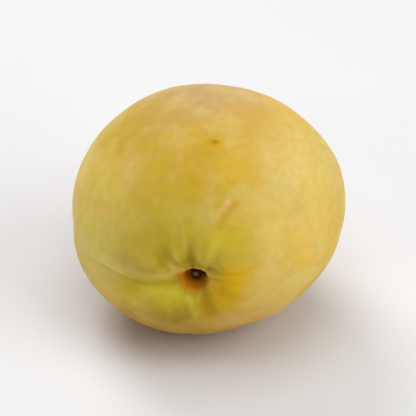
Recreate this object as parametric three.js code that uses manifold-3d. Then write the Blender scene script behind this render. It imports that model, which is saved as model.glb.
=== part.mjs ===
// A whole apricot with a stub of its stalk, lying on its cheek. Millimetres, +Z up.
// The stalk end faces -Y, the tip faces +Y, and the seam runs down the -X side.
// The origin is under the middle of the fruit, on the surface that it lies on.
import * as THREE from 'three';
import { mergeVertices } from 'three/addons/utils/BufferGeometryUtils.js';
import Module from 'manifold-3d';

const wasm = await Module();
wasm.setup();

// Driving dimensions, from the core line that runs from the stalk to the tip.
const SEAM_SIDE = 22.3; // out to the side that carries the seam
const BACK_SIDE = 22.8; // out to the side opposite the seam
const CHEEK = 19.6; // out to either cheek
const STALK_END = 20.6; // from the widest section to the stalk end, before it dips
const TIP_END = 20.3; // from the widest section to the tip
const STALK_POWER = 2.25; // above 2, the shoulders round the stalk are fuller than an ellipse
const TIP_POWER = 2.0; // 2 is an ellipse
const SEAM_ROLL = 15.5; // degrees that the seam has rolled down from level
const NOD = 2.2; // degrees that the stalk end points below level
const SWING = 1; // degrees that it is turned towards the seam's side
const REST_CUT = 0.5; // height of the skin that the small flat spot takes off

const CAVITY = { depth: 3.3, radius: 5.6 }; // the dip that holds the stalk
const PIT = { depth: 1.9, radius: 1.8, wall: 0.5 }; // the hole in the middle of that dip
const TIP_DIP = { depth: 0.9, radius: 4.5 };
const TIP_POINT = { height: 0.7, radius: 2.2 };

// The seam is a groove. It is deeper and narrower by the stalk and by the tip, deeper again past the
// girth. Its ends run out between start and full, or fullAtTip, which are distances from the core
// line. It bows towards the upper cheek from start to full, and from back to the tip it runs back to
// nothing. Those three are in radians from the stalk, and so are from, to and reach. sideFade keeps
// the far side free of the seam.
const SEAM = { depth: 0.34, width: 2.3, start: 1.3, full: 3.2, fullAtTip: 5.0, sideFade: 0.25 };
const SEAM_PAST_GIRTH = { deeper: 0.3, from: 1.6, to: 2.3 };
const SEAM_AT_STALK = { deeper: 0.5, narrower: 0.7, reach: 0.6 };
const SEAM_AT_TIP = { deeper: 0.2, narrower: 0.5, reach: 0.6 };
const SEAM_BOW = { across: -3.5, start: 0.1, full: 0.8, back: 1.7 };
// The flesh swells along both edges of the seam. The lower swelling is the larger, and it fades from
// fades to ends, in radians from the stalk.
const LOWER_LIP = { height: 0.42, extra: 0.1, offset: 5.2, width: 3.4, fades: 0.6, ends: 1.7 };
const UPPER_LIP = { height: 0.12, offset: -4.6, width: 3.0 };

// Puckers run out from the stalk. Facing the stalk end, at is their angle in degrees, anticlockwise
// from +X, where they are LEANS_FROM mm from the core line, and lean is how it changes with each mm
// further out. half is their half width in degrees, and from and to are distances from the core line.
const LEANS_FROM = 6;
const PUCKER_RISE = 1.1; // mm over which a pucker deepens from where it starts
const PUCKER_HOLD = 0.45; // share of its length over which it keeps its depth
const PUCKERS = [
  { at: 8, lean: 0, depth: 0.3, half: 11, from: 1.6, to: 5.5 },
  { at: 34, lean: -3, depth: 0.26, half: 8, from: 1.6, to: 6.0 },
  { at: 56, lean: 1.2, depth: 0.42, half: 9, from: 2.2, to: 9.5 },
  { at: 97, lean: -0.8, depth: 0.5, half: 8, from: 1.8, to: 12.0 },
  { at: 130, lean: -1.5, depth: 0.4, half: 7, from: 3.0, to: 12.0 },
  { at: 146, lean: -3.2, depth: 0.35, half: 6.5, from: 4.0, to: 11.5 },
  { at: 168, lean: 0, depth: 0.22, half: 9, from: 1.6, to: 5.5 },
  { at: 238, lean: 0, depth: 0.18, half: 10, from: 1.5, to: 4.5 },
  { at: 288, lean: -3, depth: 0.48, half: 13, from: 2.0, to: 9.5 },
];
// Swellings between the puckers, each at an angle and a distance from the core line.
const SWELLINGS = [
  { at: 232, height: 0.65, half: 26, distance: 6.5, reach: 4.2 },
  { at: 330, height: 0.2, half: 18, distance: 6.0, reach: 3.0 },
  { at: 20, height: 0.14, half: 9, distance: 3.8, reach: 1.8 },
  { at: 77, height: 0.24, half: 10, distance: 6.4, reach: 3.0 },
  { at: 113, height: 0.2, half: 8, distance: 6.0, reach: 3.2 },
  { at: 156, height: 0.2, half: 9, distance: 4.2, reach: 1.8 },
];
// Slow waves that take the fruit off a perfect round, by how many times each turns about the core.
const WAVES = [
  { turns: 1, cos: -0.17, sin: -0.1, flips: true },
  { turns: 2, cos: -0.25, sin: 0.45, flips: true },
  { turns: 3, cos: -0.04, sin: 0.33, flips: false },
];

// The fruit has settled, so the skin is a little fuller where it rests.
const UNDERSIDE = { at: 286, height: 0.75, half: 27, reach: 0.55 };

// The stub of the stalk: gap is left free between it and the pit, lobes is how far it is from round,
// and pith is the height of its middle as a share of the whole height.
const STUB = { radius: 0.95, height: 1.6, sides: 14, gap: 0.35, lobes: 0.07, pith: 0.96 };

const RINGS = 52; // rings from the stalk to the tip, closer together at both ends
const MERIDIANS = 104; // points round each ring, closer together at the seam
const RING_CROWDING = 0.72;
const SEAM_CROWDING = 0.3;

const { PI, abs, cos, exp, hypot, sin } = Math;
const bell = (x, width) => exp(-((x / width) ** 2));
const rise = (from, to, x) => THREE.MathUtils.smoothstep(x, from, to);
const turned = (from, to) => THREE.MathUtils.euclideanModulo(to - from + 180, 360) - 180;

// How far the seam and its lips stand out of the smooth body. across is in mm, square to the seam.
function seamRelief(theta, phi, fromCore, across) {
  const bowed = rise(SEAM_BOW.start, SEAM_BOW.full, theta) * (1 - rise(SEAM_BOW.back, PI, theta));
  const side = across - SEAM_BOW.across * bowed;
  const stalk = bell(theta, SEAM_AT_STALK.reach);
  const tip = bell(PI - theta, SEAM_AT_TIP.reach);
  const past = rise(SEAM_PAST_GIRTH.from, SEAM_PAST_GIRTH.to, theta);
  const atEnds = SEAM_AT_STALK.deeper * stalk + SEAM_AT_TIP.deeper * tip;
  const depth = SEAM.depth + SEAM_PAST_GIRTH.deeper * past + atEnds;
  const width = SEAM.width - SEAM_AT_STALK.narrower * stalk - SEAM_AT_TIP.narrower * tip;
  const fade = 1 - rise(LOWER_LIP.fades, LOWER_LIP.ends, theta);
  const lower = (LOWER_LIP.height + LOWER_LIP.extra * stalk) * fade;
  const full = theta < PI / 2 ? SEAM.full : SEAM.fullAtTip;
  const onSeamSide = rise(0, SEAM.sideFade, cos(phi)) * rise(SEAM.start, full, fromCore);
  return onSeamSide * (
    lower * bell(side - LOWER_LIP.offset, LOWER_LIP.width) +
    UPPER_LIP.height * bell(side - UPPER_LIP.offset, UPPER_LIP.width) -
    depth * bell(side, width)
  );
}

// How far the puckers and swellings round the stalk stand out.
function stalkRelief(phi, fromCore) {
  const facing = 180 + SEAM_ROLL + THREE.MathUtils.radToDeg(phi);
  let height = 0;
  for (const { at, lean, depth, half, from, to } of PUCKERS) {
    const middle = at + lean * (fromCore - LEANS_FROM);
    const starts = rise(from, from + PUCKER_RISE, fromCore);
    const ends = rise(from + PUCKER_HOLD * (to - from), to, fromCore);
    height -= depth * bell(turned(middle, facing), half) * starts * (1 - ends);
  }
  for (const { at, height: swell, half, distance, reach } of SWELLINGS) {
    height += swell * bell(turned(at, facing), half) * bell(fromCore - distance, reach);
  }
  return height;
}

// How far the slow waves and the settled underside stand out.
function slowRelief(theta, phi) {
  const facing = 180 + SEAM_ROLL + THREE.MathUtils.radToDeg(phi);
  const below = bell(turned(UNDERSIDE.at, facing), UNDERSIDE.half);
  let height = UNDERSIDE.height * below * bell(theta - PI / 2, UNDERSIDE.reach);
  for (const { turns, cos: c, sin: s, flips } of WAVES) {
    const wave = c * cos(turns * phi) + s * sin(turns * phi);
    height += wave * (flips ? cos(theta) : 1) * sin(theta) ** 2;
  }
  return height;
}

// A point of the skin. x runs from the core to the seam side and z towards the stalk. theta runs from
// 0 at the stalk to PI at the tip, and phi round the core from the seam.
function skinPoint(theta, phi) {
  const power = TIP_POWER + (STALK_POWER - TIP_POWER) * (1 + cos(theta)) / 2;
  const reach = (abs(sin(theta)) ** power + abs(cos(theta)) ** power) ** (-1 / power);
  const side = cos(phi) > 0 ? SEAM_SIDE : BACK_SIDE;
  const stalkHalf = cos(theta) > 0;
  const half = stalkHalf ? STALK_END : TIP_END;
  const fromCore = reach * sin(theta) / hypot(cos(phi) / side, sin(phi) / CHEEK);
  const x = fromCore * cos(phi);
  const y = fromCore * sin(phi);
  const z = reach * cos(theta) * half;
  const outward = new THREE.Vector3(x / side ** 2, y / CHEEK ** 2, z / half ** 2).normalize();
  const pitEdge = rise(PIT.radius - PIT.wall, PIT.radius + PIT.wall, fromCore);
  const sunk = stalkHalf
    ? -CAVITY.depth * bell(fromCore, CAVITY.radius) - PIT.depth * (1 - pitEdge)
    : TIP_DIP.depth * bell(fromCore, TIP_DIP.radius) - TIP_POINT.height * bell(fromCore, TIP_POINT.radius);
  const height =
    seamRelief(theta, phi, fromCore, y) +
    slowRelief(theta, phi) +
    (stalkHalf ? stalkRelief(phi, fromCore) : 0);
  return new THREE.Vector3(x, y, z + sunk).addScaledVector(outward, height);
}

// A closed skin over rings of points, from the point first to the point last.
function closedSkin(first, rings, last) {
  const around = rings[0].length;
  const points = [first, ...rings.flat(), last];
  const end = points.length - 1;
  const index = [];
  for (let k = 0; k < around; k++) {
    const next = (k + 1) % around;
    index.push(0, 1 + k, 1 + next);
    for (let ring = 0; ring < rings.length - 1; ring++) {
      const here = 1 + ring * around;
      const below = here + around;
      index.push(here + k, below + k, below + next, here + k, below + next, here + next);
    }
    index.push(end - around + k, end, end - around + next);
  }
  return new THREE.BufferGeometry().setFromPoints(points).setIndex(index);
}

function crowded(share, crowding) {
  return share - crowding * sin(2 * PI * share) / (2 * PI);
}

function fruitSkin() {
  const rings = [];
  for (let i = 1; i < RINGS; i++) {
    const theta = PI * crowded(i / RINGS, RING_CROWDING);
    const ring = [];
    for (let k = 0; k < MERIDIANS; k++) {
      ring.push(skinPoint(theta, 2 * PI * crowded(k / MERIDIANS, SEAM_CROWDING)));
    }
    rings.push(ring);
  }
  return closedSkin(skinPoint(0, 0), rings, skinPoint(PI, 0));
}

// The stub of the stalk: a short woody plug with a torn, raised rim and a low pith in its middle.
function stubSkin() {
  const foot = skinPoint(0, 0).z + STUB.gap;
  const profile = [
    // share of the radius, share of the height, share of the height by which the rim is torn
    [0.72, 0.0, 0],
    [0.95, 0.2, 0],
    [0.9, 0.55, 0],
    [1.0, 0.86, 0.1],
    [0.78, 1.0, 0.16],
    [0.56, 0.84, 0.06],
    [0.32, 0.9, 0],
  ];
  const rings = profile.map(([out, up, torn]) => {
    const ring = [];
    for (let k = 0; k < STUB.sides; k++) {
      const angle = 2 * PI * k / STUB.sides;
      const radius = STUB.radius * out * (1 + STUB.lobes * sin(3 * angle + 0.8));
      const ragged = torn * (sin(2 * angle + 0.4) + 0.6 * sin(5 * angle));
      const height = foot + STUB.height * (up + ragged);
      ring.push(new THREE.Vector3(radius * cos(angle), radius * sin(angle), height));
    }
    return ring;
  });
  const bottom = new THREE.Vector3(0, 0, foot);
  const top = new THREE.Vector3(0, 0, foot + STUB.pith * STUB.height);
  // closedSkin runs from the end that faces +z, so the rings go from the top down.
  return closedSkin(top, rings.reverse(), bottom);
}

// Lays the core line almost level, with the stalk towards -Y and the seam on the -X side, rolled down.
function lyingDown() {
  const [roll, nod, swing] = [SEAM_ROLL, NOD, SWING].map(THREE.MathUtils.degToRad);
  const toStalk = new THREE.Vector3(0, -1, 0);
  const toSeam = new THREE.Vector3(-cos(roll), 0, -sin(roll));
  const toCheek = new THREE.Vector3().crossVectors(toStalk, toSeam);
  const level = new THREE.Matrix4().makeBasis(toSeam, toCheek, toStalk);
  return new THREE.Matrix4().makeRotationFromEuler(new THREE.Euler(nod, 0, -swing)).multiply(level);
}

function asSolid(geometry) {
  const merged = mergeVertices(geometry, 1e-4);
  return new wasm.Manifold(new wasm.Mesh({
    numProp: 3,
    vertProperties: merged.attributes.position.array,
    triVerts: new Uint32Array(merged.index.array),
  }));
}

function asGeometry(solid) {
  const { vertProperties, triVerts } = solid.getMesh();
  return new THREE.BufferGeometry()
    .setAttribute('position', new THREE.BufferAttribute(vertProperties, 3))
    .setIndex(new THREE.BufferAttribute(triVerts, 1));
}

// Takes everything below z = 0 off, which leaves the flat spot that the fruit rests on.
function restingOnFlat(geometry) {
  const [across, thick] = [4 * CHEEK, CHEEK];
  const slab = new THREE.BoxGeometry(across, across, thick).translate(0, 0, -thick / 2);
  slab.deleteAttribute('normal').deleteAttribute('uv');
  return asGeometry(asSolid(geometry).subtract(asSolid(slab)));
}

function named(name, geometry, color, roughness) {
  const material = new THREE.MeshStandardMaterial({ color, roughness, metalness: 0 });
  geometry.computeVertexNormals();
  const mesh = new THREE.Mesh(geometry, material);
  mesh.name = name;
  return mesh;
}

const turn = lyingDown();
const skin = fruitSkin().applyMatrix4(turn);
skin.computeBoundingBox();
const middle = skin.boundingBox.getCenter(new THREE.Vector3());
const toRest = new THREE.Vector3(-middle.x, -middle.y, -skin.boundingBox.min.z - REST_CUT);
skin.translate(...toRest);
const stub = stubSkin().applyMatrix4(turn).translate(...toRest);

const apricot = new THREE.Group();
apricot.add(
  named('fruit', restingOnFlat(skin), '#dcb55d', 0.55),
  named('stem_stub', stub, '#4b2b14', 0.85),
);

export default apricot;
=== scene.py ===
"""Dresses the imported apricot: fine skin, torn stalk stub, pale floor, soft studio light and the camera."""
import math

import bpy
import numpy as np
from mathutils import Matrix, Vector


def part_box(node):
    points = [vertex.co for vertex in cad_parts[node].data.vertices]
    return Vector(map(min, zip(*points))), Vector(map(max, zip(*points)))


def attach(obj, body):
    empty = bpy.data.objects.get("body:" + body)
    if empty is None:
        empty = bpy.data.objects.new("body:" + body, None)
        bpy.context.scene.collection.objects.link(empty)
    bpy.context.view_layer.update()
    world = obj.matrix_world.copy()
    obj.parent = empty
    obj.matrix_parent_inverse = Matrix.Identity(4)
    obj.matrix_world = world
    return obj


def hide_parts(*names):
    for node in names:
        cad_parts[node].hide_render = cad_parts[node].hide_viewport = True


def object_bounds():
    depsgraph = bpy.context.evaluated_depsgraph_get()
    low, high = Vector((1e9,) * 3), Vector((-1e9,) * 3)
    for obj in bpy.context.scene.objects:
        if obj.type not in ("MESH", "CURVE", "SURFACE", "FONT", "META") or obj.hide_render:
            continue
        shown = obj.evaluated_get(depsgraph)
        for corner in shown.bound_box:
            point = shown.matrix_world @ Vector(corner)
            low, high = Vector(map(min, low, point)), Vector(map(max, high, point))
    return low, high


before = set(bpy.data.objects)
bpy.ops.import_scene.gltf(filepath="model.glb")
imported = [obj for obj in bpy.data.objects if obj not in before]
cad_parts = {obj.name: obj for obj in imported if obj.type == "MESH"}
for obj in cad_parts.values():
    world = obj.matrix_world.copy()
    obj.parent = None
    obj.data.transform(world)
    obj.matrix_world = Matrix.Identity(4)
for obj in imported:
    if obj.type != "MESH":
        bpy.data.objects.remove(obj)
CAD_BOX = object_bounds()

MM = 0.001  # the frame is in metres, while the sizes below are in millimetres

# The fruit's form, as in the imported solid, from the core line that runs from the stalk to the tip.
SEAM_SIDE = 22.3  # out to the side that carries the seam
BACK_SIDE = 22.8  # out to the side opposite the seam
CHEEK = 19.6  # out to either cheek
STALK_END = 20.6  # from the widest section to the stalk end, before it dips
TIP_END = 20.3  # from the widest section to the tip
STALK_POWER = 2.25  # above 2, the shoulders round the stalk are fuller than an ellipse
TIP_POWER = 2.0  # 2 is an ellipse
SEAM_ROLL = 15.5  # degrees that the seam has rolled down from level
NOD = 2.2  # degrees that the stalk end points below level
SWING = 1  # degrees that it is turned towards the seam's side

CAVITY = {"depth": 3.3, "radius": 5.6}  # the dip that holds the stalk
PIT = {"depth": 1.9, "radius": 1.8, "wall": 0.5}  # the hole in the middle of that dip
TIP_DIP = {"depth": 0.9, "radius": 4.5}
TIP_POINT = {"height": 0.7, "radius": 2.2}

# The seam is a groove. It is deeper and narrower by the stalk and by the tip, deeper again past the
# girth. Its ends run out between start and full, or full_at_tip, which are distances from the core
# line. It bows towards the upper cheek from start to full, and from back to the tip it runs back to
# nothing. Those three are in radians from the stalk, and so are the other starts, fulls and reaches.
# side_fade keeps the far side free of the seam.
SEAM = {"depth": 0.34, "width": 2.3, "start": 1.3, "full": 3.2, "full_at_tip": 5.0, "side_fade": 0.25}
SEAM_AT_STALK = {"deeper": 0.5, "narrower": 0.7, "reach": 0.6}
SEAM_PAST_GIRTH = {"deeper": 0.3, "start": 1.6, "full": 2.3}
SEAM_AT_TIP = {"deeper": 0.2, "narrower": 0.5, "reach": 0.6}
SEAM_BOW = {"across": -3.5, "start": 0.1, "full": 0.8, "back": 1.7}
# The flesh swells along both edges of the seam. The lower swelling is the larger, and it fades from
# fades to ends, in radians from the stalk.
LOWER_LIP = {"height": 0.42, "extra": 0.1, "offset": 5.2, "width": 3.4, "fades": 0.6, "ends": 1.7}
UPPER_LIP = {"height": 0.12, "offset": -4.6, "width": 3.0}

# Puckers run out from the stalk. Facing the stalk end, each has its angle in degrees, anticlockwise
# from +X, where it is LEANS_FROM mm from the core line. Its lean is how that changes with each mm
# further out. It runs between two distances from the core line.
LEANS_FROM = 6
PUCKER_RISE = 1.1  # mm over which a pucker deepens from where it starts
PUCKER_HOLD = 0.45  # share of its length over which it keeps its depth
PUCKERS = [  # angle, lean, depth, half width in degrees, from, to
    (8, 0, 0.3, 11, 1.6, 5.5),
    (34, -3, 0.26, 8, 1.6, 6.0),
    (56, 1.2, 0.42, 9, 2.2, 9.5),
    (97, -0.8, 0.5, 8, 1.8, 12.0),
    (130, -1.5, 0.4, 7, 3.0, 12.0),
    (146, -3.2, 0.35, 6.5, 4.0, 11.5),
    (168, 0, 0.22, 9, 1.6, 5.5),
    (238, 0, 0.18, 10, 1.5, 4.5),
    (288, -3, 0.48, 13, 2.0, 9.5),
]
# Swellings between the puckers, each at an angle and a distance from the core line.
SWELLINGS = [  # angle, height, half width in degrees, distance, reach
    (232, 0.65, 26, 6.5, 4.2),
    (330, 0.2, 18, 6.0, 3.0),
    (20, 0.14, 9, 3.8, 1.8),
    (77, 0.24, 10, 6.4, 3.0),
    (113, 0.2, 8, 6.0, 3.2),
    (156, 0.2, 9, 4.2, 1.8),
]
# Slow waves that take the fruit off a perfect round.
WAVES = [  # turns about the core line, cosine, sine, whether it flips from stalk to tip
    (1, -0.17, -0.1, True),
    (2, -0.25, 0.45, True),
    (3, -0.04, 0.33, False),
]
# The fruit has settled, so the skin is a little fuller where it rests.
UNDERSIDE = {"at": 286, "height": 0.75, "half": 27, "reach": 0.55}

RINGS = 236  # rings from the stalk to the tip, closer together at both ends
MERIDIANS = 418  # points round each ring, closer together at the seam
RING_CROWDING = 0.72
SEAM_CROWDING = 0.3

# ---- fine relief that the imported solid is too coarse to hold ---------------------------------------

# A thin line runs along the bottom of the seam. It has the share least of its depth, and all of it at
# fullest, in radians from the stalk, and within about reach of there. Past the girth it is deeper, by
# a share, and wider, in mm. Close to the tip it ends between two distances from the core line, which
# is nearer to the tip than the groove gets.
FINE_SEAM = {"depth": 0.16, "width": 0.42, "least": 0.5, "fullest": 0.6, "reach": 0.28}
FINE_SEAM_PAST_GIRTH = {"deeper": 0.3, "wider": 0.2}
FINE_SEAM_AT_TIP = {"ends": 0.8, "full": 3.4}

# Soft narrow pleats between the puckers, laid out as those are. A height below 0 is a fine furrow.
FOLD_RISE = 1.4  # mm over which a pleat grows from where it starts
FOLD_HOLD = 0.4  # share of its length over which it keeps its height
FOLDS = [  # angle, lean, height, half width in mm, from, to
    (104, -0.6, 0.12, 0.42, 4.5, 13.5),
    (112, -1.0, -0.10, 0.34, 4.0, 8.5),
    (118, -1.2, 0.13, 0.40, 3.6, 9.0),
    (124, -1.4, -0.12, 0.36, 3.4, 9.5),
    (138, -2.0, 0.12, 0.45, 3.2, 8.5),
    (152, -2.4, 0.14, 0.50, 2.6, 7.0),
    (86, 0.5, 0.12, 0.50, 4.0, 9.0),
    (78, 0.6, -0.09, 0.32, 4.4, 8.0),
    (69, 0.8, 0.14, 0.55, 4.6, 12.5),
    (41, -1.5, -0.12, 0.26, 2.2, 5.8),
    (26, -1.0, 0.10, 0.30, 2.2, 5.5),
    (350, 1.0, 0.12, 0.42, 2.6, 5.4),
    (336, 1.5, -0.12, 0.34, 2.2, 6.0),
    (291, -3.0, 0.16, 0.50, 2.2, 7.0),
    (269, 1.2, 0.06, 0.45, 4.2, 8.6),
]

# Fine lines that gather the skin round the stalk, laid out as the pleats are. Each has values between
# these, drawn at random.
WRINKLES = {
    "count": 46,
    "seed": 11,
    "lean": (-4.0, 2.0),
    "depth": (0.015, 0.055),
    "half": (0.25, 0.55),
    "start": (1.7, 4.6),
    "length": (2.0, 6.5),
    "wander": (1, 4),  # degrees that it winds to either side
    "winding": (0.6, 1.5),  # radians of that wave in each mm
    "rise": 0.8,
    "hold": 0.4,
}
UNEVENNESS = [  # wavelength, height, waves, seed
    (15.0, 0.10, 14, 3),
    (6.5, 0.035, 18, 4),
    (2.6, 0.010, 22, 5),
]
RIPPLE_SPREAD = (0.7, 1.4)  # a ripple is finer than the wavelength by a factor between these
CORK = {"distance": 2.1, "reach": 0.45, "height": 0.14}  # the lip round the pit
CORK_GRAIN = (0.55, 0.05, 26, 6)  # as in UNEVENNESS
# How deep a crease each form counts as, next to a pucker of the same depth.
AS_CREASE = {"groove": 0.25, "fold": 2.2, "wrinkle": 1.2, "line": 1.8}
FLAT_EDGE = 0.14  # how softly the flat spot under the fruit is rounded off


def bell(x, width):
    """1 where x is 0, falling smoothly to nearly 0 at twice the width on either side."""
    return np.exp(-((x / width) ** 2))


def rise(start, end, x):
    """A smooth step from 0 at the start to 1 at the end."""
    share = np.clip((x - start) / (end - start), 0, 1)
    return share * share * (3 - 2 * share)


def turned(start, end):
    """How far it is from one angle to another, from -180 to 180 degrees."""
    return (end - start + 180) % 360 - 180


def crowded(share, crowding):
    """Evenly spaced shares from 0 to 1, drawn closer together near 0 and 1."""
    return share - crowding * np.sin(2 * np.pi * share) / (2 * np.pi)


# ---- the skin's form -------------------------------------------------------------------------------
#
# theta runs from 0 at the stalk to pi at the tip, and phi runs round the core line from the seam.
# facing is the angle in degrees that phi has when the stalk end is faced.


def seam_groove(theta, phi, from_core, across):
    """The height of the seam's lips, the depth of its groove and the depth of the thin line in it."""
    bowed = rise(SEAM_BOW["start"], SEAM_BOW["full"], theta) * (1 - rise(SEAM_BOW["back"], np.pi, theta))
    side = across - SEAM_BOW["across"] * bowed
    stalk = bell(theta, SEAM_AT_STALK["reach"])
    tip = bell(np.pi - theta, SEAM_AT_TIP["reach"])
    past = rise(SEAM_PAST_GIRTH["start"], SEAM_PAST_GIRTH["full"], theta)
    depth = SEAM["depth"] + SEAM_AT_STALK["deeper"] * stalk + SEAM_AT_TIP["deeper"] * tip
    depth = depth + SEAM_PAST_GIRTH["deeper"] * past
    width = SEAM["width"] - SEAM_AT_STALK["narrower"] * stalk - SEAM_AT_TIP["narrower"] * tip
    fade = 1 - rise(LOWER_LIP["fades"], LOWER_LIP["ends"], theta)
    lower = (LOWER_LIP["height"] + LOWER_LIP["extra"] * stalk) * fade
    full = np.where(theta < np.pi / 2, SEAM["full"], SEAM["full_at_tip"])
    side_fade = rise(0, SEAM["side_fade"], np.cos(phi))
    on_seam_side = side_fade * rise(SEAM["start"], full, from_core)
    lips = lower * bell(side - LOWER_LIP["offset"], LOWER_LIP["width"])
    lips = lips + UPPER_LIP["height"] * bell(side - UPPER_LIP["offset"], UPPER_LIP["width"])
    most = bell(theta - FINE_SEAM["fullest"], FINE_SEAM["reach"])
    share = FINE_SEAM["least"] + (1 - FINE_SEAM["least"]) * most
    share = share + FINE_SEAM_PAST_GIRTH["deeper"] * past
    line_width = FINE_SEAM["width"] + FINE_SEAM_PAST_GIRTH["wider"] * past
    line_at_tip = side_fade * rise(FINE_SEAM_AT_TIP["ends"], FINE_SEAM_AT_TIP["full"], from_core)
    line = FINE_SEAM["depth"] * share * bell(side, line_width)
    line = line * np.where(theta < np.pi / 2, on_seam_side, line_at_tip)
    return on_seam_side * lips, on_seam_side * depth * bell(side, width), line


def stretch(from_core, start, end, rises, hold):
    """1 along a pucker or pleat. It sets in over rises mm, holds for the share hold, and then fades."""
    return rise(start, start + rises, from_core) * (1 - rise(start + hold * (end - start), end, from_core))


def pucker_depth(facing, from_core):
    depth = 0
    for at, lean, deep, half, start, end in PUCKERS:
        middle = at + lean * (from_core - LEANS_FROM)
        along = stretch(from_core, start, end, PUCKER_RISE, PUCKER_HOLD)
        depth = depth + deep * bell(turned(middle, facing), half) * along
    return depth


def swelling_height(facing, from_core):
    height = 0
    for at, swell, half, distance, reach in SWELLINGS:
        height = height + swell * bell(turned(at, facing), half) * bell(from_core - distance, reach)
    return height


def slow_relief(theta, phi, facing):
    """The height of the fuller underside and of the slow waves."""
    below = bell(turned(UNDERSIDE["at"], facing), UNDERSIDE["half"])
    height = UNDERSIDE["height"] * below * bell(theta - np.pi / 2, UNDERSIDE["reach"])
    for turns, c, s, flips in WAVES:
        wave = c * np.cos(turns * phi) + s * np.sin(turns * phi)
        height = height + wave * (np.cos(theta) if flips else 1) * np.sin(theta) ** 2
    return height


def ripples(points, wavelength, height, count, seed):
    """Smooth random relief: count waves that run in all directions, about that long."""
    random = np.random.default_rng(seed)
    ways = random.normal(size=(count, 3))
    finer = random.uniform(*RIPPLE_SPREAD, count)
    ways *= (2 * np.pi / wavelength / np.linalg.norm(ways, axis=1) * finer)[:, None]
    starts = random.uniform(0, 2 * np.pi, count)
    total = np.zeros(points.shape[:-1])
    for way, start in zip(ways, starts):
        total += np.sin(points @ way + start)
    return height * total / math.sqrt(count)


def fold_height(facing, from_core):
    height = 0
    for at, lean, stands, half, start, end in FOLDS:
        middle = at + lean * (from_core - LEANS_FROM)
        aside = np.radians(turned(middle, facing)) * from_core
        along = stretch(from_core, start, end, FOLD_RISE, FOLD_HOLD)
        height = height + stands * bell(aside, half) * along
    return height


def wrinkle_depth(facing, from_core):
    random = np.random.default_rng(WRINKLES["seed"])
    depth = np.zeros_like(from_core)
    for _ in range(WRINKLES["count"]):
        at = random.uniform(0, 360)
        lean = random.uniform(*WRINKLES["lean"])
        deep = random.uniform(*WRINKLES["depth"])
        half = random.uniform(*WRINKLES["half"])
        start = random.uniform(*WRINKLES["start"])
        end = start + random.uniform(*WRINKLES["length"])
        wander = random.uniform(*WRINKLES["wander"])
        winding = random.uniform(*WRINKLES["winding"]) * from_core + random.uniform(0, 6)
        middle = at + lean * (from_core - LEANS_FROM) + wander * np.sin(winding)
        aside = np.radians(turned(middle, facing)) * from_core
        along = stretch(from_core, start, end, WRINKLES["rise"], WRINKLES["hold"])
        depth += deep * bell(aside, half) * along
    return depth


def skin_form(theta, phi, fine=True):
    """Points of the skin, x to the seam's side and z to the stalk, and how deep its creases are there."""
    theta, phi = np.broadcast_arrays(np.asarray(theta, float), np.asarray(phi, float))
    power = TIP_POWER + (STALK_POWER - TIP_POWER) * (1 + np.cos(theta)) / 2
    reach = (abs(np.sin(theta)) ** power + abs(np.cos(theta)) ** power) ** (-1 / power)
    side = np.where(np.cos(phi) > 0, SEAM_SIDE, BACK_SIDE)
    stalk_half = np.cos(theta) > 0
    half = np.where(stalk_half, STALK_END, TIP_END)
    from_core = reach * np.sin(theta) / np.hypot(np.cos(phi) / side, np.sin(phi) / CHEEK)
    x, y, z = from_core * np.cos(phi), from_core * np.sin(phi), reach * np.cos(theta) * half
    outward = np.stack([x / side**2, y / CHEEK**2, z / half**2], -1)
    outward /= np.linalg.norm(outward, axis=-1, keepdims=True)
    pit_edge = rise(PIT["radius"] - PIT["wall"], PIT["radius"] + PIT["wall"], from_core)
    at_stalk = -CAVITY["depth"] * bell(from_core, CAVITY["radius"]) - PIT["depth"] * (1 - pit_edge)
    at_tip = TIP_DIP["depth"] * bell(from_core, TIP_DIP["radius"])
    at_tip = at_tip - TIP_POINT["height"] * bell(from_core, TIP_POINT["radius"])
    facing = 180 + SEAM_ROLL + np.degrees(phi)
    lips, groove, line = seam_groove(theta, phi, from_core, y)
    puckers = stalk_half * pucker_depth(facing, from_core)
    swellings = stalk_half * swelling_height(facing, from_core)
    height = lips - groove - puckers + swellings + slow_relief(theta, phi, facing)
    points = np.stack([x, y, z + np.where(stalk_half, at_stalk, at_tip)], -1)
    crease = puckers + AS_CREASE["groove"] * groove
    if fine:
        wrinkles = stalk_half * wrinkle_depth(facing, from_core)
        folds = stalk_half * fold_height(facing, from_core)
        cork = stalk_half * bell(from_core - CORK["distance"], CORK["reach"])
        smooth = 1 - cork
        for wave in UNEVENNESS:
            height = height + smooth * ripples(points, *wave)
        height = height + cork * (CORK["height"] + ripples(points, *CORK_GRAIN)) + folds - wrinkles - line
        crease = crease - AS_CREASE["fold"] * folds + AS_CREASE["wrinkle"] * wrinkles
        crease = crease + AS_CREASE["line"] * line
    return points + outward * height[..., None], crease


def lying_down(points):
    """Lays the core line almost level, with the stalk towards -Y and the seam on the -X side."""
    roll = math.radians(SEAM_ROLL)
    to_stalk = np.array([0.0, -1.0, 0.0])
    to_seam = np.array([-math.cos(roll), 0.0, -math.sin(roll)])
    to_cheek = np.cross(to_stalk, to_seam)
    nodded = Matrix.Rotation(math.radians(NOD), 3, "X") @ Matrix.Rotation(math.radians(-SWING), 3, "Z")
    return points @ np.stack([to_seam, to_cheek, to_stalk]) @ np.array(nodded).T


def skin_grid():
    theta = np.pi * crowded(np.arange(1, RINGS) / RINGS, RING_CROWDING)
    phi = 2 * np.pi * crowded(np.arange(MERIDIANS) / MERIDIANS, SEAM_CROWDING)
    return theta[:, None], phi[None, :]


def where_it_lies():
    """How far the turned form moves, in mm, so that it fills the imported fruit's box."""
    form, _ = skin_form(*skin_grid(), fine=False)
    form = lying_down(form.reshape(-1, 3))
    low, high = (np.array(corner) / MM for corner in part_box("fruit"))
    middle = (form.min(0) + form.max(0)) / 2
    return np.array([*((low + high) / 2 - middle)[:2], high[2] - form[:, 2].max()])


PLACE = where_it_lies()


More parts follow.
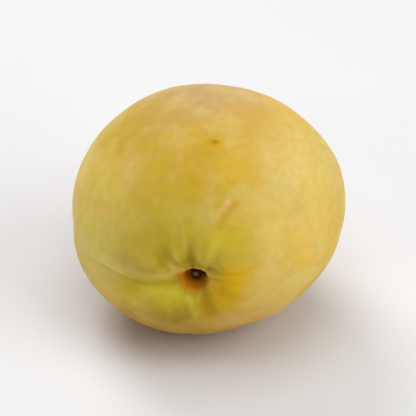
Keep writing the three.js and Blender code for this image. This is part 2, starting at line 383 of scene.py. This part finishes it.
def settled(points):
    """Presses what would lie below the floor flat on it, with a softly rounded edge."""
    z = points[:, 2]
    rounded = (z + FLAT_EDGE) ** 2 / (4 * FLAT_EDGE)
    points[:, 2] = np.where(z > FLAT_EDGE, z, np.where(z < -FLAT_EDGE, 0, rounded))
    return points


def end_of_core(theta):
    """Where the core line meets the skin, in mm: in the pit where theta is 0, at the tip where it is pi."""
    return lying_down(skin_form(theta, 0.0, fine=False)[0]) + PLACE


# ---- old scars, which healed while the fruit grew, and streaks of painted shade and highlight -------

SCARS_AND_PAINTED_LIGHT = [  # kind, start and end in mm, half width, how far the skin stands out
    ("pale", (4.1, -15.7, 33.2), (2.0, -17.5, 30.9), 0.44, 0.08),  # the long scar on the brow
    ("gold", (5.2, -15.7, 32.8), (2.9, -17.9, 30.1), 0.66, -0.13),  # painted shade in the hollow along its lower side
    ("lime", (-1.9, -18.6, 15.4), (-0.9, -18.7, 12.8), 0.7, 0.04),  # a painted highlight along a streak below the pit
    ("lime", (-9.0, -18.3, 16.8), (-3.6, -18.0, 16.4), 0.8, 0.05),  # a painted highlight along the top of the lobe below the seam
    ("brown", (1.30, -7.6, 38.7), (1.75, -7.5, 38.7), 0.36, -0.08),  # the speck on the crown
    ("gold", (0.9, -8.0, 38.6), (2.2, -7.6, 38.6), 0.75, 0.02),  # the skin round that speck
]
SCAR_AND_LIGHT_KINDS = ("gold", "pale", "lime", "brown")


def near_scar(points, start, end, half):
    """1 on the line from start to end, falling to 0 beside it."""
    start, along = np.array(start), np.array(end) - np.array(start)
    share = np.clip((points - start) @ along / (along @ along), 0, 1)
    return bell(np.linalg.norm(points - start - share[:, None] * along, axis=1), half)


def scarred_and_streaked(points):
    """The points with the relief of the scars and streaks, and a field of where each kind of scar and of
    painted streak is.
    """
    outward = points - points.mean(0)
    outward /= np.linalg.norm(outward, axis=1, keepdims=True)
    height = np.zeros(len(points))
    fields = {kind: np.zeros(len(points)) for kind in SCAR_AND_LIGHT_KINDS}
    for kind, start, end, half, stands in SCARS_AND_PAINTED_LIGHT:
        here = near_scar(points, start, end, half)
        height += stands * here
        fields[kind] = np.maximum(fields[kind], here)
    return points + outward * height[:, None], fields


# ---- meshes -----------------------------------------------------------------------------------------


def closed_mesh(name, first, rings, last):
    """A smooth closed mesh over rings of points, from the point first to the point last, in mm."""
    count, around = rings.shape[:2]
    points = np.concatenate([first[None], rings.reshape(-1, 3), last[None]])
    k = np.arange(around)
    following = (k + 1) % around
    here = (1 + np.arange(count - 1)[:, None] * around) + k[None]
    after = (1 + np.arange(count - 1)[:, None] * around) + following[None]
    quads = np.stack([here, here + around, after + around, after], -1).reshape(-1, 4)
    end = len(points) - 1
    caps = [(0, 1 + a, 1 + b) for a, b in zip(k, following)]
    caps += [(end - around + a, end, end - around + b) for a, b in zip(k, following)]
    mesh = bpy.data.meshes.new(name)
    mesh.from_pydata((points * MM).tolist(), [], quads.tolist() + caps)
    mesh.shade_smooth()
    made = bpy.data.objects.new(name, mesh)
    bpy.context.scene.collection.objects.link(made)
    return made


def give_field(piece, name, values):
    """Stores a number for each point, which the piece's material reads by name."""
    field = piece.data.attributes.new(name, "FLOAT", "POINT")
    field.data.foreach_set("value", np.asarray(values, np.float32))


def make_skin():
    """The whole dressed skin, with fields that tell its material where creases, scars and painted streaks
    are.
    """
    theta, phi = skin_grid()
    form, crease = skin_form(theta, phi)
    ends, end_crease = skin_form(np.array([0.0, np.pi]), np.array([0.0, 0.0]))
    everything = np.concatenate([ends[:1], form.reshape(-1, 3), ends[1:]])
    everything, fields = scarred_and_streaked(settled(lying_down(everything) + PLACE))
    skin = closed_mesh("apricot_skin", everything[0], everything[1:-1].reshape(form.shape), everything[-1])
    give_field(skin, "crease", np.concatenate([end_crease[:1], crease.ravel(), end_crease[1:]]))
    for kind, values in fields.items():
        give_field(skin, kind, values)
    return skin


# The stub's foot is sunk in the bottom of the pit. Fibres take its sides off a round, and tears its rim
# off a level, by shares of its radius and its height. Both are made of STUB_WAVES, by how many times
# each turns about the stub.
STUB = {"radius": 0.95, "height": 1.65, "sunk": 0.15, "fibres": 0.28, "tears": 0.13, "seed": 21}
STUB_SIDES = 96
STUB_RINGS = 66
STUB_WAVES = (2, 3, 5, 9, 14, 23)
STUB_GRAIN = (0.5, 0.035, 20)  # wavelength, height, waves
STUB_GRAIN_WAY = (0.6, 0.6, 1.0)  # the grain stands up more than it stands out
STUB_PROFILE = [  # share of the radius, share of the height, how much of it is torn
    (0.95, 0.00, 0.0),
    (1.08, 0.10, 0.0),
    (0.98, 0.30, 0.0),
    (0.93, 0.55, 0.0),
    (0.97, 0.78, 0.4),
    (0.99, 0.92, 1.0),
    (0.90, 1.00, 1.0),
    (0.74, 0.93, 0.8),
    (0.60, 0.82, 0.5),
    (0.44, 0.80, 0.4),
    (0.30, 0.88, 0.25),
    (0.15, 0.93, 0.15),
]


def make_stub():
    """The stub of the stalk: a dry plug of fibres with a torn rim and a low pith in its middle."""
    foot, _ = skin_form(0.0, 0.0, fine=False)
    random = np.random.default_rng(STUB["seed"])
    along = np.linspace(0, len(STUB_PROFILE) - 1, STUB_RINGS)
    profile = np.array(STUB_PROFILE)
    out, up, torn = (np.interp(along, np.arange(len(profile)), profile[:, c])[:, None] for c in range(3))
    angle = (2 * np.pi * np.arange(STUB_SIDES) / STUB_SIDES)[None]
    fibres = np.zeros_like(angle)
    tears = np.zeros_like(angle)
    for turns in STUB_WAVES:  # the more often a wave turns, the lower it is
        fibres = fibres + np.sin(turns * angle + random.uniform(0, 6)) / (6 + turns)
        tears = tears + np.sin(turns * angle + random.uniform(0, 6)) / (1 + 0.35 * turns)
    radius = STUB["radius"] * out * (1 + STUB["fibres"] * fibres)
    height = STUB["height"] * (up + STUB["tears"] * torn * tears) - STUB["sunk"]
    x, y = radius * np.cos(angle), radius * np.sin(angle)
    rings = np.stack([x, y, foot[2] + height + 0 * angle], -1)[::-1]
    grain = ripples(rings, *STUB_GRAIN, STUB["seed"])
    rings = rings + grain[..., None] * np.array(STUB_GRAIN_WAY)
    top, bottom = rings[0].mean(0), rings[-1].mean(0)
    everything = lying_down(np.concatenate([top[None], rings.reshape(-1, 3), bottom[None]])) + PLACE
    return closed_mesh("stalk_stub", everything[0], everything[1:-1].reshape(rings.shape), everything[-1])


# ---- materials --------------------------------------------------------------------------------------


def srgb(red, green, blue):
    """A colour given from 0 to 255 as it looks on a screen, as linear light."""
    parts = [c / 255 for c in (red, green, blue)]
    return tuple(c / 12.92 if c <= 0.04045 else ((c + 0.055) / 1.055) ** 2.4 for c in parts) + (1.0,)


SEED_STEP = (37.0, 11.0, 23.0)  # mm from one seed's noise to the next one's


class Graph:
    """A material's nodes. A value fed to a socket is a number, a vector, a colour or a node's output."""

    def __init__(self, name):
        self.material = bpy.data.materials.new(name)
        self.material.use_nodes = True
        self.tree = self.material.node_tree
        self.tree.nodes.clear()

    def feed(self, socket, value):
        if isinstance(value, bpy.types.NodeSocket):
            self.tree.links.new(value, socket)
        else:
            socket.default_value = value

    def node(self, kind, inputs, **settings):
        made = self.tree.nodes.new(kind)
        for key, value in settings.items():
            setattr(made, key, value)
        for key, value in inputs.items():
            self.feed(made.inputs[key], value)
        return made

    def math(self, operation, *values):
        return self.node("ShaderNodeMath", dict(enumerate(values)), operation=operation).outputs[0]

    def times(self, first, second):
        return self.math("MULTIPLY", first, second)

    def vector(self, operation, *values):
        made = self.node("ShaderNodeVectorMath", dict(enumerate(values)), operation=operation)
        return made.outputs["Value" if operation == "LENGTH" else "Vector"]

    def scaled(self, vector, factor):
        inputs = {"Vector": vector, "Scale": factor}
        return self.node("ShaderNodeVectorMath", inputs, operation="SCALE").outputs["Vector"]

    def rise(self, value, start, end, low=0.0, high=1.0):
        """A smooth step from low, where value is start, to high, where it is end."""
        inputs = {"Value": value, "From Min": start, "From Max": end, "To Min": low, "To Max": high}
        return self.node("ShaderNodeMapRange", inputs, interpolation_type="SMOOTHSTEP").outputs[0]

    def noise(self, where, size, detail, roughness, seed):
        """Noise from 0 to 1 whose blobs are about size mm across, at the place where, in mm."""
        moved = self.vector("ADD", where, tuple(seed * step for step in SEED_STEP))
        inputs = {"Vector": moved, "Scale": 1 / size, "Detail": detail, "Roughness": roughness}
        return self.node("ShaderNodeTexNoise", inputs).outputs[0]

    def mix(self, share, low, high, blend="MIX"):
        made = self.node("ShaderNodeMix", {0: share, 6: low, 7: high}, data_type="RGBA", blend_type=blend)
        return made.outputs[2]

    def field(self, name):
        return self.node("ShaderNodeAttribute", {}, attribute_name=name).outputs["Fac"]

    def place(self):
        """The surface's place in mm in the part's own frame, which moves with the piece."""
        return self.scaled(self.node("ShaderNodeTexCoord", {}).outputs["Object"], 1 / MM)

    def warped(self, where, size, push):
        """The place where, pushed about in blobs of about size mm, mostly by under half of push mm."""
        inputs = {"Vector": where, "Scale": 1 / size, "Detail": 1.0}
        blobs = self.node("ShaderNodeTexNoise", inputs).outputs["Color"]
        return self.vector("ADD", where, self.scaled(self.vector("SUBTRACT", blobs, (0.5,) * 3), 2 * push))

    def shader(self, colour, roughness, normal, gloss):
        """The finished material. gloss holds what is the same all over, by the sockets' names."""
        inputs = {"Base Color": colour, "Roughness": roughness, "Normal": normal, **gloss}
        surface = self.node("ShaderNodeBsdfPrincipled", inputs)
        output = self.node("ShaderNodeOutputMaterial", {})
        self.tree.links.new(surface.outputs["BSDF"], output.inputs["Surface"])
        return self.material

    def bump(self, height):
        """The normal of a relief whose height is in mm."""
        inputs = {"Strength": 1.0, "Distance": MM, "Height": height}
        return self.node("ShaderNodeBump", inputs).outputs["Normal"]


CORE = end_of_core(0.0)
TIP = end_of_core(np.pi)

YELLOW = srgb(234, 194, 72)  # the skin's own two colours
CREAM = srgb(240, 207, 104)
BLUSH = srgb(226, 158, 70)  # on the far side
AMBER_LOW_SHADE = srgb(186, 138, 34)  # painted shade low down, towards the floor
BLOOM = srgb(240, 220, 150)  # two sorts of faint clouds
RIPE = srgb(226, 178, 40)
RAY_TINTS = srgb(236, 234, 220), srgb(255, 255, 255)  # rays that run out from the stalk
CREASE_SHADE = srgb(158, 130, 2)  # painted shade in the creases round the stalk
RIDGE_HIGHLIGHT = srgb(230, 212, 84)  # painted highlight on the pleats between them
SEAM_SHADE = srgb(176, 116, 24)  # painted shade in the seam's groove, past the stalk end
RUST = srgb(216, 132, 0)  # round the pit
DARK = srgb(62, 24, 5)  # in the pit, where it is partly painted shade, and at the tip
SCAR_AND_LIGHT_TINTS = [  # kind, share, colour
    # gold is the scars' own colour and also painted shade in the long scar's hollow; lime is a painted
    # highlight
    ("gold", 0.9, srgb(216, 168, 0)),
    ("pale", 0.85, srgb(254, 212, 150)),
    ("lime", 0.4, srgb(238, 230, 92)),
    ("brown", 0.75, srgb(150, 104, 8)),
]

# Soft patches of colour, each laid over those before it: colour, share, middle in mm, how far it is
# full, where it ends, and how much the distance counts along x, y and z.
EVEN = (1.0, 1.0, 1.0)
PATCHES = [
    # The upper side, from the crown to the cheek on the right.
    (srgb(203, 168, 120), 0.88, (-2.0, 4.0, 39.0), 2.0, 18.0, EVEN),  # tan crown, its pale pinkish tone partly painted sheen
    (srgb(211, 168, 30), 0.9, (-1.0, -9.5, 37.6), 0.0, 13.5, (0.9, 1.0, 1.0)),  # gold below it
    (srgb(209, 169, 36), 0.65, (-12.0, 1.0, 36.0), 0.0, 14.0, EVEN),  # gold left of it
    (srgb(216, 178, 32), 0.6, (-5.2, -13.5, 34.5), 0.0, 10.0, (1.0, 1.0, 0.8)),  # gold brow over the hollow
    (srgb(240, 209, 122), 0.9, (15.0, -7.0, 33.0), 1.0, 17.0, EVEN),  # cream cheek, partly painted sheen of the light from the right
    (srgb(216, 174, 88), 0.7, (7.5, -1.0, 38.0), 0.0, 8.5, EVEN),  # tan between crown and cheek
    (srgb(232, 188, 48), 0.6, (5.4, -11.6, 36.0), 0.0, 6.0, EVEN),  # gold beside the long scar
    (srgb(255, 224, 126), 0.6, (12.7, -16.4, 26.2), 0.5, 6.0, EVEN),  # cream right of the hollow
    (srgb(255, 222, 112), 0.5, (17.0, -6.5, 31.0), 1.0, 8.0, EVEN),  # cream by the right edge
    (srgb(218, 176, 58), 0.45, (4.6, -4.6, 38.6), 0.0, 7.0, (0.7, 1.0, 1.0)),  # ochre by the brown speck
    (srgb(196, 160, 58), 0.45, (-6.0, -1.5, 38.4), 0.0, 6.5, EVEN),  # ochre left of that
    (srgb(240, 208, 108), 0.8, (14.0, -16.0, 19.0), 0.0, 9.0, EVEN),  # cream low on the cheek
    (srgb(252, 214, 104), 0.7, (17.0, -13.0, 24.0), 0.0, 7.0, EVEN),  # cream between those
    # The shoulder on the left, and the hollow round the stalk.
    (srgb(238, 218, 104), 0.8, (-17.0, -12.5, 24.0), 1.0, 12.0, (1.0, 1.0, 0.8)),  # pale shoulder
    (srgb(212, 188, 46), 0.9, (-3.0, -17.0, 26.6), 1.0, 13.0, (0.8, 1.0, 1.0)),  # olive hollow
    (srgb(230, 200, 86), 0.45, (-4.8, -16.0, 31.8), 0.5, 6.0, EVEN),  # pale part of the brow
    (srgb(238, 208, 110), 0.5, (-14.4, -14.4, 27.0), 0.5, 5.5, EVEN),  # pale part of the shoulder
    (srgb(232, 208, 56), 0.75, (3.4, -18.6, 27.2), 0.4, 5.0, (1.0, 1.0, 0.8)),  # lime ridge
    # The flesh below the seam and below the pit, down to the floor.
    (srgb(216, 196, 54), 0.85, (-6.8, -18.7, 15.8), 0.8, 6.6, (0.6, 1.0, 1.3)),  # lime lobe
    (srgb(216, 206, 40), 0.8, (-3.6, -18.7, 15.9), 0.3, 3.6, (0.8, 1.0, 1.2)),  # its end by the pit
    (srgb(232, 214, 124), 0.55, (-14.0, -15.8, 17.6), 0.3, 4.0, (0.7, 1.0, 1.2)),  # pale lower lip, a painted highlight
    (srgb(150, 116, 8), 0.6, (-7.2, -18.0, 11.2), 0.5, 5.8, (0.5, 1.0, 1.3)),  # brown below the lobe, painted shade near the floor
    (srgb(178, 148, 36), 0.7, (-2.8, -18.6, 12.8), 0.5, 3.6, (0.6, 1.0, 1.2)),  # olive beside that, also painted shade near the floor
    (srgb(246, 202, 122), 0.6, (12.5, -14.5, 9.5), 0.5, 6.5, EVEN),  # pale below the cheek, a painted reflection of the floor's light
    (srgb(228, 184, 96), 0.75, (6.8, -17.8, 11.0), 0.5, 6.0, (0.7, 1.0, 1.2)),  # tan beside that
    (srgb(222, 200, 104), 0.3, (-0.6, -18.6, 11.4), 0.3, 2.2, (1.5, 1.0, 0.7)),  # pale streak by the floor
    (srgb(206, 168, 0), 0.85, (1.7, -18.6, 14.2), 0.6, 4.4, (1.3, 1.0, 0.7)),  # olive gold under the pit
    (srgb(252, 200, 0), 0.98, (5.4, -18.9, 20.0), 1.4, 4.6, (1.1, 1.0, 0.8)),  # gold beside the pit
    (srgb(230, 186, 0), 0.95, (4.4, -18.9, 16.6), 0.8, 4.2, (1.0, 1.0, 0.9)),  # gold below that
    # The seam, and the folds and lips close round the pit.
    (srgb(210, 176, 0), 0.7, (-10.6, -17.8, 17.3), 0.2, 3.2, (0.45, 1.0, 1.6)),  # gold in the seam
    (srgb(164, 140, 30), 0.36, (-8.6, -17.9, 18.6), 0.2, 3.2, (0.6, 1.0, 1.8)),  # shade in the seam
    (srgb(160, 136, 24), 0.4, (-10.2, -18.4, 21.4), 0.5, 4.2, (0.6, 1.0, 1.5)),  # shade above it
    (srgb(240, 218, 78), 0.5, (-4.8, -17.7, 18.4), 0.3, 2.0, (0.7, 1.0, 1.3)),  # lime by the pit, a painted highlight over the seam's groove
    (srgb(150, 114, 0), 0.45, (0.1, -17.1, 16.9), 0.3, 1.9, (0.8, 1.0, 1.2)),  # ochre below that
    (srgb(150, 116, 0), 0.4, (1.2, -17.8, 21.4), 0.2, 1.7, EVEN),  # ochre above the pit
    (srgb(234, 210, 100), 0.4, (-3.4, -17.9, 30.6), 0.2, 2.4, (1.3, 1.0, 0.7)),  # painted highlight at the end of a pale ridge
    (srgb(232, 208, 96), 0.35, (0.3, -17.6, 31.6), 0.2, 2.4, (1.3, 1.0, 0.7)),  # painted highlight at the end of the next one
    (srgb(182, 152, 0), 0.9, (-1.6, -18.0, 22.8), 0.4, 3.4, (1.0, 1.0, 0.8)),  # dark fold above the pit: painted shade over its olive
    (srgb(180, 154, 0), 0.7, (-5.8, -18.0, 23.8), 0.2, 3.0, (1.0, 1.0, 0.8)),  # dark fold left of that: painted shade
    (srgb(188, 160, 0), 0.75, (3.0, -18.2, 22.0), 0.2, 2.6, (0.9, 1.0, 1.1)),  # dark fold right of it: painted shade
    (srgb(222, 198, 104), 0.75, (-4.5, -18.4, 20.4), 0.4, 2.0, (0.8, 1.0, 1.2)),  # pale left lip of the pit
    (srgb(222, 186, 40), 0.7, (2.6, -18.1, 20.4), 0.2, 1.5, EVEN),  # gold right lip
    (srgb(224, 190, 48), 0.7, (2.9, -18.2, 17.8), 0.2, 1.6, (1.0, 1.0, 0.8)),  # gold right lip, low down
    (srgb(228, 208, 100), 0.65, (-3.9, -18.6, 24.4), 0.2, 1.7, (1.3, 1.0, 0.6)),  # pale ridge above the pit: a painted highlight
    (srgb(224, 204, 90), 0.65, (0.8, -18.6, 23.8), 0.2, 1.8, (1.1, 1.0, 0.7)),  # pale ridge right of that: a painted highlight
    # Small ripe spots.
    (srgb(246, 194, 60), 0.55, (-16.5, -11.3, 27.0), 0.2, 3.2, EVEN),  # on the shoulder
    (srgb(242, 194, 70), 0.6, (21.0, -8.0, 22.0), 1.0, 7.0, EVEN),  # by the right edge
    (srgb(250, 202, 64), 0.7, (16.4, -14.7, 21.4), 0.4, 3.0, (1.0, 1.0, 0.8)),  # low on the cheek
]

FLAT = (1, 0, 1)  # leaves out Y, which runs nearly along the core line

# Noise: mm across its blobs, detail, roughness, seed.
MOTTLE = (8.0, 2.0, 0.45, 1)
FLECKS = (1.6, 3.0, 0.6, 2)
GRAIN = (0.28, 2.0, 0.6, 3)
BLOOM_CLOUDS = (4.6, 1.0, 0.5, 9)
RIPE_CLOUDS = (4.2, 1.0, 0.5, 10)
RAYS = (1.0, 2.0, 0.5, 8)
RAYS_AROUND = 2.6  # how many blobs of that noise a radian round the stalk holds
RAYS_ALONG = 0.1  # and how many a mm along them holds

# How the edges of patches and marks are pushed about, so that none looks drawn: mm across the blobs,
# mm of push.
COARSE_PUSH = (6.0, 2.2)
FINE_PUSH = (1.5, 0.7)
RUST_PUSH = (1.2, 0.7)
TIP_PUSH = (0.8, 0.4)

# Marks where the core line ends: middle, how far they are full, where they end, how much the distance
# counts along x, y and z.
PIT_RUST = (CORE + (-0.5, 0.0, -0.2), 1.3, 3.3, (0.9, 0.0, 1.0))
# The pit's dark is partly the scar's own brown and partly painted shade in the hole.
PIT_DARK = (CORE + (0.6, 0.0, 0.25), 0.95, 1.5, (1.0, 0.0, 1.0))
TIP_MARK = (TIP, 0.3, 1.5, EVEN)
TIP_SHARE = 0.9

# Smooth steps from one value to another, with the strength at both where that isn't 0 and 1. Along Y
# in mm:
AT_STALK_END = (-14.0, -15.0)
PAST_STALK_END = (-13.0, -3.0)
BLUSH_STEP = (2.0, 18.0, 0.0, 0.6)
# Up from the floor in mm:
AMBER_LOW_SHADE_STEP = (17.0, 6.0, 0.0, 0.95)
BLOOM_HEIGHT_STEP = (4.0, 14.0, 0.3, 1.0)
# Out from the core line in mm:
CLEAR_OF_CLOUDS = (7.0, 13.0, 1.0, 0.0)
RAYS_STEP = (3.0, 14.0, 1.0, 0.0)
# Along the crease's depth, where a pleat counts as less than 0:
CREASE_SHADE_STEP = (0.1, 0.9, 0.0, 0.55)
SEAM_SHADE_STEP = (0.06, 0.5, 0.0, 0.36)
RIDGE_HIGHLIGHT_STEP = (-0.05, -0.35, 0.0, 0.35)
# Along a noise:
CREAM_STEP = (0.32, 0.68)
BLOOM_STEP = (0.42, 0.74, 0.0, 0.24)
RIPE_STEP = (0.42, 0.74, 0.0, 0.18)
RAY_STEP = (0.3, 0.7)
FLECK_STEP = (0.3, 0.7, 0.955, 1.035)
ROUGHNESS_STEP = (0.25, 0.75, 0.44, 0.58)
PORE_STEP = (0.05, 0.16, 1.0, 0.0)

PORES = 0.9  # pores in each mm
GRAIN_HEIGHT = 0.018
FLECK_HEIGHT = 0.03
PORE_HEIGHT = -0.012

SKIN_GLOSS = {
    "Subsurface Weight": 0.3,
    "Subsurface Radius": (1.0, 0.55, 0.22),
    "Subsurface Scale": 2.4 * MM,
    "Specular IOR Level": 0.1,
    "Sheen Weight": 0.03,
    "Sheen Roughness": 0.45,
    "Sheen Tint": (1.0, 0.95, 0.86, 1.0),
}


def patch(g, where, middle, full, ends, counts):
    """1 within full mm of the middle, falling to 0 at ends."""
    offset = g.vector("MULTIPLY", g.vector("SUBTRACT", where, tuple(middle)), counts)
    return g.rise(g.vector("LENGTH", offset), full, ends, 1.0, 0.0)


def ground_colour(g, place, away, up):
    """Yellow mottled with cream, blushing on the far side, with amber painted shade low down."""
    colour = g.mix(g.rise(g.noise(place, *MOTTLE), *CREAM_STEP), YELLOW, CREAM)
    colour = g.mix(g.rise(away, *BLUSH_STEP), colour, BLUSH)
    return g.mix(g.rise(up, *AMBER_LOW_SHADE_STEP), colour, AMBER_LOW_SHADE)


def patched(g, colour, pushed):
    where = g.warped(pushed, *FINE_PUSH)
    for tint, share, *shape in PATCHES:
        colour = g.mix(g.times(patch(g, where, *shape), share), colour, tint)
    return colour


def clouded(g, colour, pushed, from_core, at_stalk, up):
    """Faint pale and ripe clouds, which stay off the hollow round the stalk."""
    clear = g.math("SUBTRACT", 1.0, g.times(g.rise(from_core, *CLEAR_OF_CLOUDS), at_stalk))
    bloom = g.times(g.rise(g.noise(pushed, *BLOOM_CLOUDS), *BLOOM_STEP), clear)
    bloom = g.times(bloom, g.rise(up, *BLOOM_HEIGHT_STEP))
    ripe = g.times(g.rise(g.noise(pushed, *RIPE_CLOUDS), *RIPE_STEP), clear)
    return g.mix(ripe, g.mix(bloom, colour, BLOOM), RIPE)


def rayed(g, colour, place, way_out, from_core, at_stalk):
    """Faint rays that run out from the stalk."""
    along_rays = g.vector("ADD", g.scaled(way_out, RAYS_AROUND), g.scaled(place, RAYS_ALONG))
    near = g.times(g.rise(from_core, *RAYS_STEP), at_stalk)
    tint = g.mix(g.rise(g.noise(along_rays, *RAYS), *RAY_STEP), *RAY_TINTS)
    return g.mix(near, colour, g.mix(1.0, colour, tint, "MULTIPLY"))


# Painted shade in the creases round the stalk and along the seam, and a painted highlight on the pleats.
def shade_creases_light_pleats(g, colour, away, at_stalk):
    crease = g.field("crease")
    past_stalk = g.rise(away, *PAST_STALK_END)
    colour = g.mix(g.times(g.rise(crease, *CREASE_SHADE_STEP), at_stalk), colour, CREASE_SHADE)
    colour = g.mix(g.times(g.rise(crease, *SEAM_SHADE_STEP), past_stalk), colour, SEAM_SHADE)
    return g.mix(g.times(g.rise(crease, *RIDGE_HIGHLIGHT_STEP), at_stalk), colour, RIDGE_HIGHLIGHT)


def marked(g, colour, place, at_stalk):
    """The scars with their painted shade and highlights, the rust, the dark of the pit with its painted
    shade, and the dark mark at the tip.
    """
    for kind, share, tint in SCAR_AND_LIGHT_TINTS:
        colour = g.mix(g.times(g.field(kind), share), colour, tint)
    rust = patch(g, g.warped(place, *RUST_PUSH), *PIT_RUST)
    colour = g.mix(g.times(rust, at_stalk), colour, RUST)
    colour = g.mix(g.times(patch(g, place, *PIT_DARK), at_stalk), colour, DARK)
    tip = patch(g, g.warped(place, *TIP_PUSH), *TIP_MARK)
    return g.mix(g.times(tip, TIP_SHARE), colour, DARK)


def skin_relief(g, place, flecks, grain):
    """Flecks that stand out a little, fine grain and sunk pores."""
    pores = g.node("ShaderNodeTexVoronoi", {"Vector": place, "Scale": PORES}).outputs["Distance"]
    relief = g.math("MULTIPLY_ADD", grain, GRAIN_HEIGHT, g.times(flecks, FLECK_HEIGHT))
    return g.math("MULTIPLY_ADD", g.rise(pores, *PORE_STEP), PORE_HEIGHT, relief)


def skin_material():
    g = Graph("downy_skin")
    place = g.place()
    apart = g.node("ShaderNodeSeparateXYZ", {"Vector": place})
    away, up = apart.outputs["Y"], apart.outputs["Z"]
    at_stalk = g.rise(away, *AT_STALK_END)
    out = g.vector("MULTIPLY", g.vector("SUBTRACT", place, tuple(CORE)), FLAT)
    from_core = g.vector("LENGTH", out)
    pushed = g.warped(place, *COARSE_PUSH)
    flecks = g.noise(place, *FLECKS)
    grain = g.noise(place, *GRAIN)

    colour = ground_colour(g, place, away, up)
    colour = patched(g, colour, pushed)
    colour = clouded(g, colour, pushed, from_core, at_stalk, up)
    colour = rayed(g, colour, place, g.vector("NORMALIZE", out), from_core, at_stalk)
    colour = shade_creases_light_pleats(g, colour, away, at_stalk)
    colour = marked(g, colour, place, at_stalk)
    colour = g.mix(1.0, colour, g.rise(flecks, *FLECK_STEP), "MULTIPLY")
    normal = g.bump(skin_relief(g, place, flecks, grain))
    return g.shader(colour, g.rise(grain, *ROUGHNESS_STEP), normal, SKIN_GLOSS)


WOOD = srgb(48, 18, 6), srgb(96, 46, 16)
PITH = srgb(164, 116, 76)
PITH_SHARE = 0.85
PITH_STEP = (0.2, 0.46, 1.0, 0.0)  # mm out from the core line, strengths
STRANDS = (0.3, 3.0, 0.6, 5)  # noise, as above
ALONG_STRANDS = (1, 0.2, 1)  # draws that noise out along the stalk
STRAND_STEP = (0.3, 0.7)
STRAND_ROUGHNESS = (0.2, 0.8, 0.7, 0.9)
STRAND_HEIGHT = 0.08
WOOD_GLOSS = {"Specular IOR Level": 0.3}


def stub_material():
    g = Graph("torn_stalk")
    place = g.vector("SUBTRACT", g.place(), tuple(CORE))
    from_core = g.vector("LENGTH", g.vector("MULTIPLY", place, FLAT))
    strands = g.noise(g.vector("MULTIPLY", place, ALONG_STRANDS), *STRANDS)
    colour = g.mix(g.rise(strands, *STRAND_STEP), *WOOD)
    colour = g.mix(g.times(g.rise(from_core, *PITH_STEP), PITH_SHARE), colour, PITH)
    normal = g.bump(g.times(strands, STRAND_HEIGHT))
    return g.shader(colour, g.rise(strands, *STRAND_ROUGHNESS), normal, WOOD_GLOSS)


FLOOR = srgb(243, 243, 246), srgb(247, 247, 249)
FLOOR_CLOUDS = (60.0, 3.0, 0.5, 6)  # noise, as above
FLOOR_STEP = (0.3, 0.7)
FLOOR_GRAIN = (0.8, 2.0, 0.5, 7)
FLOOR_GRAIN_HEIGHT = 0.02
FLOOR_ROUGHNESS = 0.8


def floor_material():
    g = Graph("pale_floor")
    place = g.place()
    colour = g.mix(g.rise(g.noise(place, *FLOOR_CLOUDS), *FLOOR_STEP), *FLOOR)
    normal = g.bump(g.times(g.noise(place, *FLOOR_GRAIN), FLOOR_GRAIN_HEIGHT))
    return g.shader(colour, FLOOR_ROUGHNESS, normal, {})


# ---- the stage --------------------------------------------------------------------------------------

# Bearings are in degrees: azimuth 0 is seen from -Y and 90 from +X, and elevation is above the level.
# Distances and sizes here are in metres. shows is the width that the picture covers.
CAMERA = {"azimuth": 4.2, "elevation": 38.6, "distance": 0.55, "shows": 0.068, "near": 0.01}
AIM_FROM_MIDDLE = Vector((-0.11, 0, -0.57)) * MM  # from the middle of the fruit's box
SENSOR = 0.036
LIGHTS = [  # name, azimuth, elevation, distance, width, watts
    ("right_key", 68, 40, 0.75, 0.6, 2.0),
    ("back_left", 214, 42, 0.7, 0.4, 1.95),
    ("overhead", 0, 86, 0.7, 0.6, 1.6),
]
SURROUND = 0.27  # how bright the white all round is
FLOOR_HALF = 3.0


def placed(name, data, target, azimuth, elevation, distance):
    """An object that looks at the target from that bearing and distance."""
    a, e = math.radians(azimuth), math.radians(elevation)
    back = Vector((math.sin(a) * math.cos(e), -math.cos(a) * math.cos(e), math.sin(e)))
    made = bpy.data.objects.new(name, data)
    bpy.context.scene.collection.objects.link(made)
    made.location = target + back * distance
    made.rotation_euler = (-back).to_track_quat("-Z", "Y").to_euler()
    return made


def make_camera(target):
    data = bpy.data.cameras.new("camera")
    data.sensor_width = SENSOR / MM
    data.lens = SENSOR / MM * CAMERA["distance"] / CAMERA["shows"]
    data.clip_start = CAMERA["near"]
    bearing = CAMERA["azimuth"], CAMERA["elevation"], CAMERA["distance"]
    bpy.context.scene.camera = placed("camera", data, target, *bearing)


def make_light(target, name, azimuth, elevation, distance, width, watts):
    data = bpy.data.lights.new(name, "AREA")
    data.shape = "DISK"
    data.size = width
    data.energy = watts
    placed(name, data, target, azimuth, elevation, distance)


def make_floor():
    corners = [(x * FLOOR_HALF, y * FLOOR_HALF, 0) for x, y in ((-1, -1), (1, -1), (1, 1), (-1, 1))]
    mesh = bpy.data.meshes.new("floor")
    mesh.from_pydata(corners, [], [(0, 1, 2, 3)])
    floor = bpy.data.objects.new("floor", mesh)
    bpy.context.scene.collection.objects.link(floor)
    floor.data.materials.append(floor_material())


def make_stage():
    scene = bpy.context.scene
    low, high = CAD_BOX
    middle = (low + high) / 2
    make_camera(middle + AIM_FROM_MIDDLE)
    make_floor()
    for light in LIGHTS:
        make_light(middle, *light)
    world = bpy.data.worlds.new("studio")
    world.use_nodes = True
    background = world.node_tree.nodes["Background"].inputs
    background["Color"].default_value = (1, 1, 1, 1)
    background["Strength"].default_value = SURROUND
    scene.world = world
    scene.view_settings.view_transform = "Standard"
    scene.cycles.use_denoising = True


skin = make_skin()
skin.data.materials.append(skin_material())
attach(skin, "root")
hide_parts("fruit")

stub = make_stub()
stub.data.materials.append(stub_material())
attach(stub, "root")
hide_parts("stem_stub")

make_stage()
